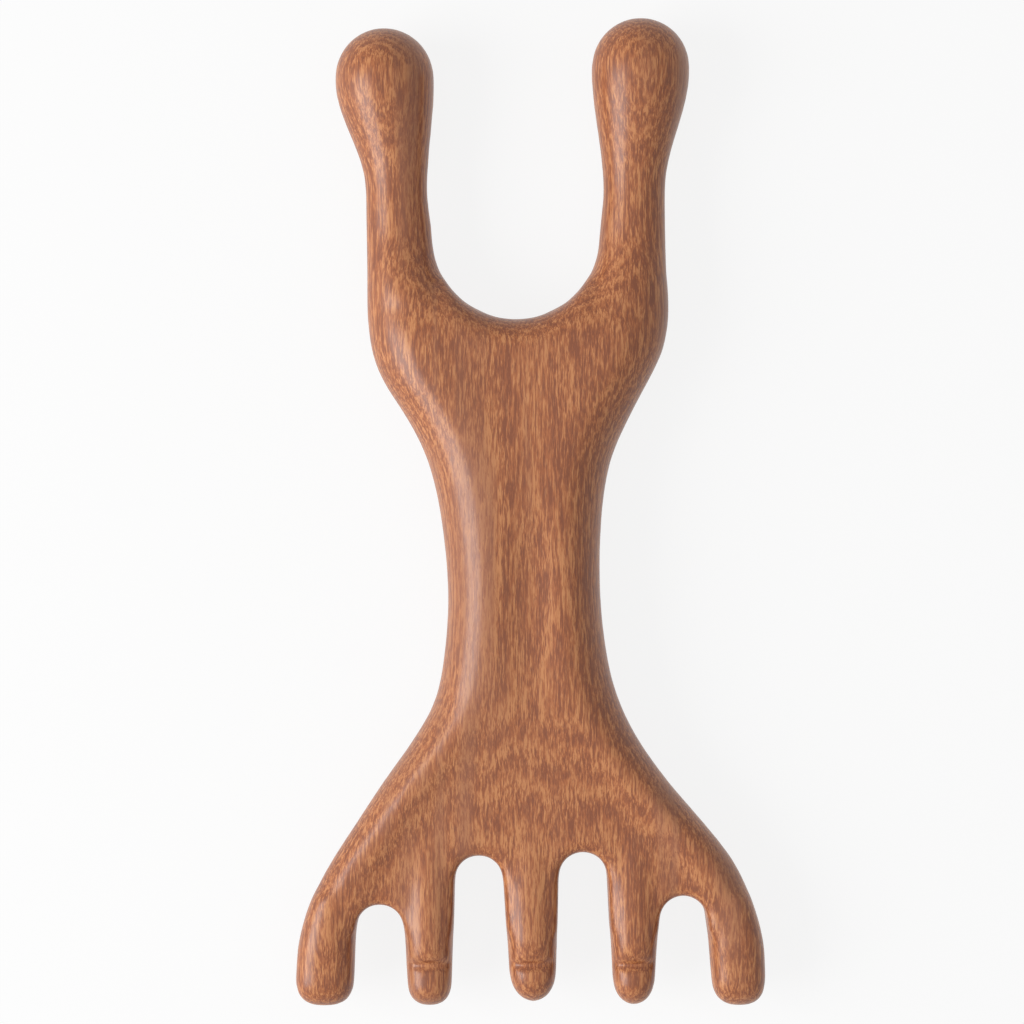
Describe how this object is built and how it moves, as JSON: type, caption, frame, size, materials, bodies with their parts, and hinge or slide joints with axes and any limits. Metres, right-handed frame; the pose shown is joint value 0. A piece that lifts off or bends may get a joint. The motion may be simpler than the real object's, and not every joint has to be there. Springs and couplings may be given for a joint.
{
  "type": "massage comb",
  "caption": "Hand-held wooden massage comb carved in one piece: a ball-ended fork, a waisted handle and a spread palm with short blunt tines.",
  "frame": {"origin": "on the flat back, under the middle of the outline", "axes": "+Z out of the front face, +Y along the comb towards the ball-ended fork"},
  "size_m": [0.0784, 0.165, 0.0172],
  "materials": {
    "wood": "waxed, satin, with fine vertical grain"
  },
  "bodies": {
    "root": {"carved_body": "wood"}
  },
  "joints": []
}
